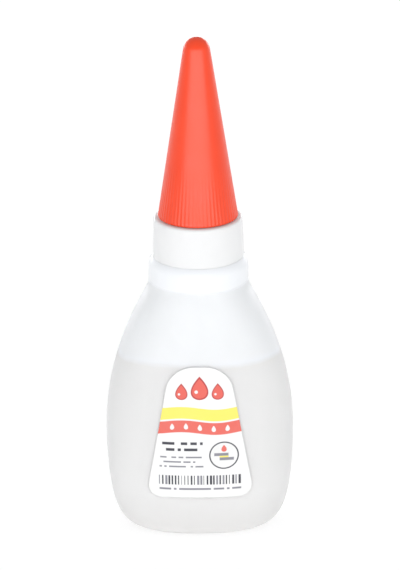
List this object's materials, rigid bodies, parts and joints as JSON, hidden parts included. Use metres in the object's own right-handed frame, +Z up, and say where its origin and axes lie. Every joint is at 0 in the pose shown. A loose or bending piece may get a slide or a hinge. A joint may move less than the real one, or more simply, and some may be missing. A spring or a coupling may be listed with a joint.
{
  "type": "glue bottle",
  "caption": "Flat oval squeeze bottle of instant glue, with a pressed-on dropper nozzle under a tall conical screw cap",
  "frame": {"origin": "centre of the foot, on the surface that the bottle stands on", "axes": "+Z up the bottle to the cap's tip, +X to the right across the bottle's width, -Y out of its front label"},
  "size_m": [0.0354, 0.02, 0.0964],
  "materials": {
    "bottle_polyethylene": "natural blow-moulded polyethylene, milky and translucent, satin",
    "nozzle_polyethylene": "white injection-moulded polyethylene, satin",
    "cap_plastic": "orange-red injection-moulded plastic, satin gloss",
    "pin_steel": "drawn stainless wire",
    "clear_glue": "clear thin liquid",
    "label_film": "white coated sticker with a printed design"
  },
  "bodies": {
    "bottle_and_nozzle": {"bottle": "bottle_polyethylene", "nozzle": "nozzle_polyethylene", "glue_fill": "clear_glue", "front_label": "label_film", "back_label": "label_film"},
    "pin_carrier": {"sealing_pin": "pin_steel"},
    "screw_cap": {"cap": "cap_plastic"}
  },
  "joints": [
    {"name": "cap_lift", "type": "slide", "parent": "bottle_and_nozzle", "child": "pin_carrier", "axis": [0, 0, 1], "range_m": [0, 0.03]},
    {"name": "cap_turn", "type": "hinge", "parent": "pin_carrier", "child": "screw_cap", "pos_m": [0, 0, 0.062], "axis": [0, 0, 1], "range_deg": [0, 3600]}
  ],
  "couplings": [
    {"joint": "cap_turn", "follows": "cap_lift", "rad_per_m": 2094.4}
  ]
}
